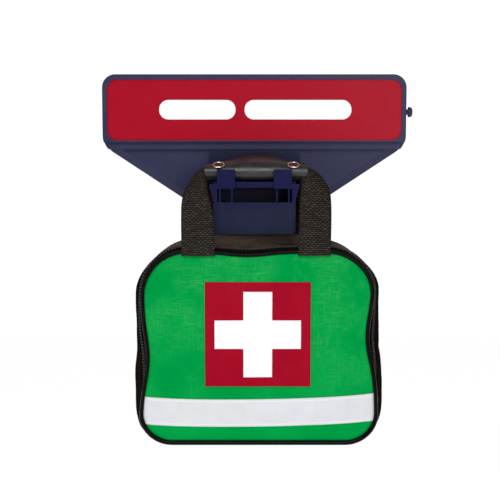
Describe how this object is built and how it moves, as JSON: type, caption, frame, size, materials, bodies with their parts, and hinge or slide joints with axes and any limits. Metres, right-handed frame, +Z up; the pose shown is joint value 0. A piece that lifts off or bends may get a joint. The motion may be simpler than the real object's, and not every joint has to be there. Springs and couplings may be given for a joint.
{
  "type": "wall-mounted bleed control kit",
  "caption": "Soft zipped bag holding a windlass tourniquet and dressings, hung by its snapped handles on the hooks of a signed wall bracket.",
  "frame": {"origin": "centre of the four wall screw holes, on the back face of the bracket's wall plate", "axes": "+Z up, -Y out from the wall towards the viewer, +X to the viewer's right"},
  "size_m": [0.305, 0.0907, 0.349],
  "materials": {
    "bracket_plastic": "moulded navy plastic, fine satin grain",
    "steel_screw": "zinc plated",
    "sign_board": "navy sheet",
    "sign_red": "satin red film",
    "sign_white": "white film",
    "foam": "closed-cell foam rod",
    "green_fabric": "woven nylon, fine grid",
    "black_fabric": "coated nylon, slight sheen",
    "board": "stiffener board in a lining",
    "piping": "glossy bound cord",
    "zip_teeth": "moulded coil teeth",
    "webbing": "polypropylene webbing, diagonal rib",
    "grip_leather": "glossy black leather cloth",
    "snap_metal": "polished ring snaps",
    "elastic": "flat elastic",
    "tourniquet_webbing": "hook and loop strap",
    "tourniquet_plastic": "moulded black plastic",
    "windlass_alloy": "anodised dark grey",
    "tag_white": "plain white tag",
    "dressing_wrap": "vacuum-packed film",
    "glove_blue": "glove pouch",
    "foil": "folded foil",
    "pen_plastic": "black marker",
    "reflective_tape": "silver retroreflective tape",
    "patch_red": "red printed cloth",
    "patch_white": "white print",
    "slider_metal": "black zinc casting"
  },
  "bodies": {
    "bracket": {"wall_plate": "bracket_plastic", "front_cover": "bracket_plastic", "cover_screws": "steel_screw", "hook_cradle": "bracket_plastic", "cradle_screws": "steel_screw"},
    "sign": {"sign_panel": "sign_board", "sign_face": "sign_red", "sign_bars": "sign_white", "sign_knob": "sign_board"},
    "handle_core": {"grip_core": "foam"},
    "bag": {"back_panel": "black_fabric", "back_board": "board", "gusset": "black_fabric", "rear_piping": "piping", "zip_tape_rear": "black_fabric", "zip_teeth_rear": "zip_teeth", "rear_strap_left": "webbing", "rear_strap_right": "webbing", "rear_web": "webbing", "grip_roll": "grip_leather", "snap_studs": "snap_metal", "elastic_loops": "elastic", "tourniquet_strap": "tourniquet_webbing", "tourniquet_buckle": "tourniquet_plastic", "windlass_plate": "tourniquet_plastic", "windlass_clip": "tourniquet_plastic", "time_tag": "tag_white", "pressure_dressings": "dressing_wrap", "gauze_pack": "dressing_wrap", "glove_pack": "glove_blue", "foil_blanket": "foil", "pen_barrel": "pen_plastic"},
    "windlass": {"windlass_rod": "windlass_alloy", "windlass_loop": "tourniquet_webbing"},
    "cap": {"pen_cap": "pen_plastic"},
    "lid": {"front_panel": "green_fabric", "front_piping": "piping", "lid_gusset": "black_fabric", "zip_tape_front": "black_fabric", "zip_teeth_front": "zip_teeth", "reflective_stripe": "reflective_tape", "label_patch": "patch_red", "patch_cross": "patch_white", "inner_pocket": "black_fabric", "chest_seal_pack": "dressing_wrap", "front_strap_left": "webbing", "front_strap_right": "webbing", "front_web": "webbing", "grip_flap": "grip_leather", "snap_caps": "snap_metal"},
    "slider": {"zip_slider": "slider_metal"},
    "pull": {"zip_pull": "slider_metal"}
  },
  "joints": [
    {"name": "sign_slide", "type": "slide", "parent": "bracket", "child": "sign", "axis": [1, 0, 0], "range_m": [0, 0.3]},
    {"name": "bag_lift", "type": "slide", "parent": "bracket", "child": "handle_core", "axis": [0, 0, 1], "range_m": [0, 0.012]},
    {"name": "bag_swing", "type": "hinge", "parent": "handle_core", "child": "bag", "pos_m": [0, -0.047, -0.0612], "axis": [-1, 0, 0], "range_deg": [0, 12]},
    {"name": "lid_open", "type": "hinge", "parent": "bag", "child": "lid", "pos_m": [0, -0.0896, -0.313], "axis": [1, 0, 0], "range_deg": [0, 100]},
    {"name": "zip_travel", "type": "slide", "parent": "bag", "child": "slider", "axis": [0, 0, 1], "range_m": [0, 0.1]},
    {"name": "pull_swing", "type": "hinge", "parent": "slider", "child": "pull", "pos_m": [0.117, -0.0782, -0.276], "axis": [0, -1, 0], "range_deg": [0, 150]},
    {"name": "windlass_turn", "type": "hinge", "parent": "bag", "child": "windlass", "pos_m": [0, -0.0726, -0.19], "axis": [0, -1, 0], "range_deg": [0, 990]},
    {"name": "cap_pull", "type": "slide", "parent": "bag", "child": "cap", "axis": [1, 0, 0], "range_m": [0, 0.03]}
  ]
}
